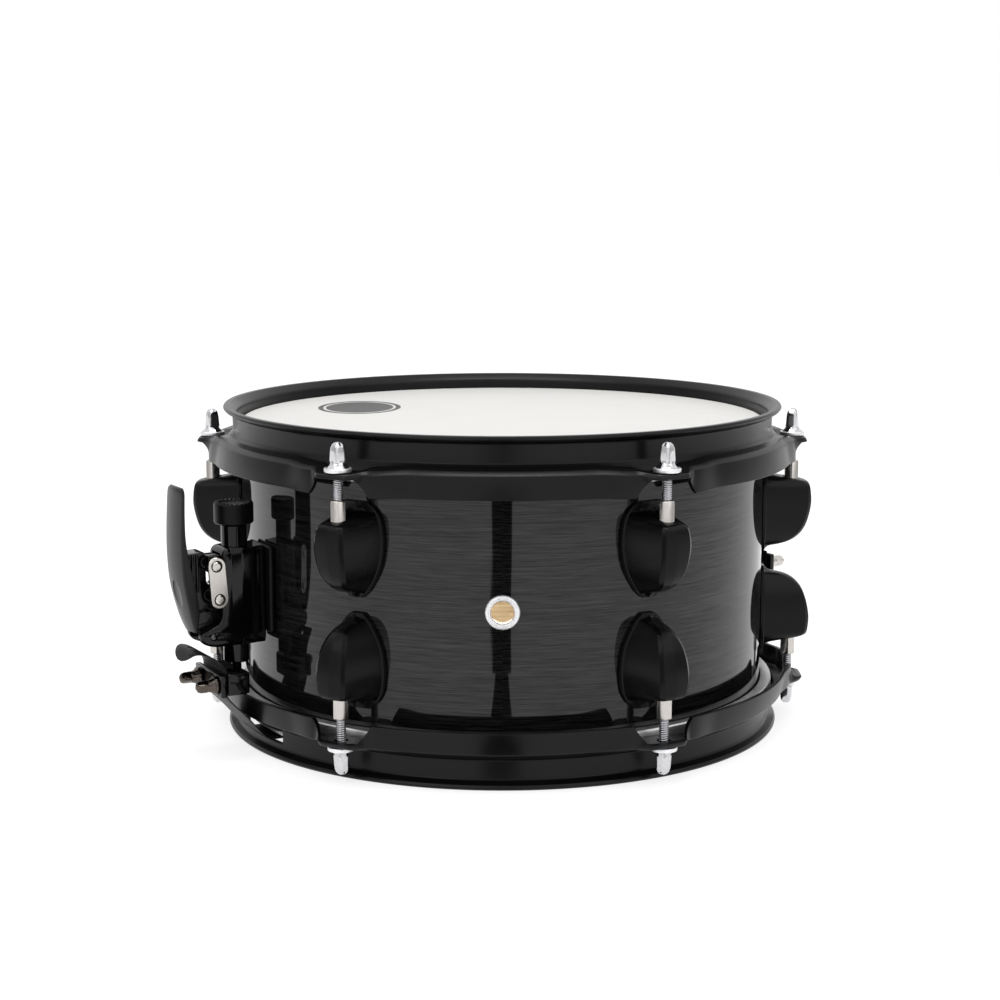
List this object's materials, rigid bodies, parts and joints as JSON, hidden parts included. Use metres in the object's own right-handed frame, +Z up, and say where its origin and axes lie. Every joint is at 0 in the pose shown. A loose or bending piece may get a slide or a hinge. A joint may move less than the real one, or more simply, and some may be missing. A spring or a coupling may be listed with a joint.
{
  "type": "snare drum",
  "caption": "Compact snare drum: lacquered wood shell between two tensioned heads, with steel hoops, tube-free lugs, a throw-off lever and coiled snare wires.",
  "frame": {"origin": "on the drum's axis, in the plane of the snare-side hoop's lip that the drum stands on", "axes": "+Z up along the drum's axis to the batter head; the vent hole faces -Y; lugs lie on the X axis at both sides"},
  "size_m": [0.305, 0.2804, 0.1556],
  "materials": {
    "lacquer": "black gloss lacquer over a fine wood grain",
    "black_steel": "satin black powder coat on pressed steel",
    "black_cast": "satin black coat on die-cast zinc",
    "black_moulded": "matte moulded black",
    "chrome": "polished chrome",
    "nickel": "satin nickel",
    "head_film": "white coated film",
    "strap": "black woven strap",
    "snare_wire": "bright drawn steel wire"
  },
  "bodies": {
    "root": {"batter_head": "head_film", "batter_hoop": "black_steel", "batter_lug_1": "black_cast", "batter_lug_2": "black_cast", "batter_lug_3": "black_cast", "batter_lug_4": "black_cast", "batter_lug_5": "black_cast", "batter_lug_6": "black_cast", "batter_swivel_nut_1": "nickel", "batter_swivel_nut_2": "nickel", "batter_swivel_nut_3": "nickel", "batter_swivel_nut_4": "nickel", "batter_swivel_nut_5": "nickel", "batter_swivel_nut_6": "nickel", "butt_block": "black_cast", "butt_clamp_plate": "black_cast", "butt_clamp_screw_1": "nickel", "butt_clamp_screw_2": "nickel", "butt_strap": "strap", "lever_pivot_pin": "chrome", "shell": "lacquer", "snare_side_head": "head_film", "snare_side_hoop": "black_steel", "snare_side_lug_1": "black_cast", "snare_side_lug_2": "black_cast", "snare_side_lug_3": "black_cast", "snare_side_lug_4": "black_cast", "snare_side_lug_5": "black_cast", "snare_side_lug_6": "black_cast", "snare_side_swivel_nut_1": "nickel", "snare_side_swivel_nut_2": "nickel", "snare_side_swivel_nut_3": "nickel", "snare_side_swivel_nut_4": "nickel", "snare_side_swivel_nut_5": "nickel", "snare_side_swivel_nut_6": "nickel", "snare_wires": "snare_wire", "throw_off_base_plate": "black_moulded", "throw_off_housing": "black_cast", "throw_off_strap": "strap", "vent_grommet": "chrome"},
    "lever": {"throw_off_lever": "black_cast"},
    "link": {"throw_off_link": "nickel"},
    "carriage": {"throw_off_post": "black_cast", "throw_off_clamp_block": "black_cast", "throw_off_clamp_plate": "black_cast", "throw_off_clamp_screw_1": "nickel", "throw_off_clamp_screw_2": "nickel"},
    "knob": {"tension_knob": "black_moulded"},
    "batter_rod_1": {"batter_tension_rod_1": "chrome"},
    "batter_rod_2": {"batter_tension_rod_2": "chrome"},
    "batter_rod_3": {"batter_tension_rod_3": "chrome"},
    "batter_rod_4": {"batter_tension_rod_4": "chrome"},
    "batter_rod_5": {"batter_tension_rod_5": "chrome"},
    "batter_rod_6": {"batter_tension_rod_6": "chrome"},
    "snare_side_rod_1": {"snare_side_tension_rod_1": "chrome"},
    "snare_side_rod_2": {"snare_side_tension_rod_2": "chrome"},
    "snare_side_rod_3": {"snare_side_tension_rod_3": "chrome"},
    "snare_side_rod_4": {"snare_side_tension_rod_4": "chrome"},
    "snare_side_rod_5": {"snare_side_tension_rod_5": "chrome"},
    "snare_side_rod_6": {"snare_side_tension_rod_6": "chrome"}
  },
  "joints": [
    {"name": "lever_turn", "type": "hinge", "parent": "root", "child": "lever", "pos_m": [-0.13553, -0.07825, 0.0573], "axis": [0.5, -0.866, 0], "range_deg": [0, 45]},
    {"name": "carriage_drop", "type": "slide", "parent": "root", "child": "carriage", "axis": [0, 0, -1], "range_m": [0, 0.0088], "deforming": ["throw_off_strap"]},
    {"name": "link_turn", "type": "hinge", "parent": "lever", "child": "link", "pos_m": [-0.13345, -0.07705, 0.0747], "axis": [0.5, -0.866, 0], "range_deg": [-99, 0]},
    {"name": "knob_turn", "type": "hinge", "parent": "carriage", "child": "knob", "pos_m": [-0.12298, -0.071, 0.1125], "axis": [0, 0, 1], "continuous": true},
    {"name": "batter_rod_1_turn", "type": "hinge", "parent": "root", "child": "batter_rod_1", "pos_m": [-0.0709, -0.1228, 0.1387], "axis": [0, 0, 1], "continuous": true},
    {"name": "batter_rod_2_turn", "type": "hinge", "parent": "root", "child": "batter_rod_2", "pos_m": [0.0709, -0.1228, 0.1387], "axis": [0, 0, 1], "continuous": true},
    {"name": "batter_rod_3_turn", "type": "hinge", "parent": "root", "child": "batter_rod_3", "pos_m": [0.1418, 0, 0.1387], "axis": [0, 0, 1], "continuous": true},
    {"name": "batter_rod_4_turn", "type": "hinge", "parent": "root", "child": "batter_rod_4", "pos_m": [0.0709, 0.1228, 0.1387], "axis": [0, 0, 1], "continuous": true},
    {"name": "batter_rod_5_turn", "type": "hinge", "parent": "root", "child": "batter_rod_5", "pos_m": [-0.0709, 0.1228, 0.1387], "axis": [0, 0, 1], "continuous": true},
    {"name": "batter_rod_6_turn", "type": "hinge", "parent": "root", "child": "batter_rod_6", "pos_m": [-0.1418, 0, 0.1387], "axis": [0, 0, 1], "continuous": true},
    {"name": "snare_side_rod_1_turn", "type": "hinge", "parent": "root", "child": "snare_side_rod_1", "pos_m": [-0.0709, -0.1228, 0.0169], "axis": [0, 0, 1], "continuous": true},
    {"name": "snare_side_rod_2_turn", "type": "hinge", "parent": "root", "child": "snare_side_rod_2", "pos_m": [0.0709, -0.1228, 0.0169], "axis": [0, 0, 1], "continuous": true},
    {"name": "snare_side_rod_3_turn", "type": "hinge", "parent": "root", "child": "snare_side_rod_3", "pos_m": [0.1418, 0, 0.0169], "axis": [0, 0, 1], "continuous": true},
    {"name": "snare_side_rod_4_turn", "type": "hinge", "parent": "root", "child": "snare_side_rod_4", "pos_m": [0.0709, 0.1228, 0.0169], "axis": [0, 0, 1], "continuous": true},
    {"name": "snare_side_rod_5_turn", "type": "hinge", "parent": "root", "child": "snare_side_rod_5", "pos_m": [-0.0709, 0.1228, 0.0169], "axis": [0, 0, 1], "continuous": true},
    {"name": "snare_side_rod_6_turn", "type": "hinge", "parent": "root", "child": "snare_side_rod_6", "pos_m": [-0.1418, 0, 0.0169], "axis": [0, 0, 1], "continuous": true}
  ],
  "couplings": [
    {"joint": "carriage_drop", "follows": "lever_turn", "m_per_rad": 0.011204},
    {"joint": "link_turn", "follows": "lever_turn", "ratio": -2.1956}
  ]
}
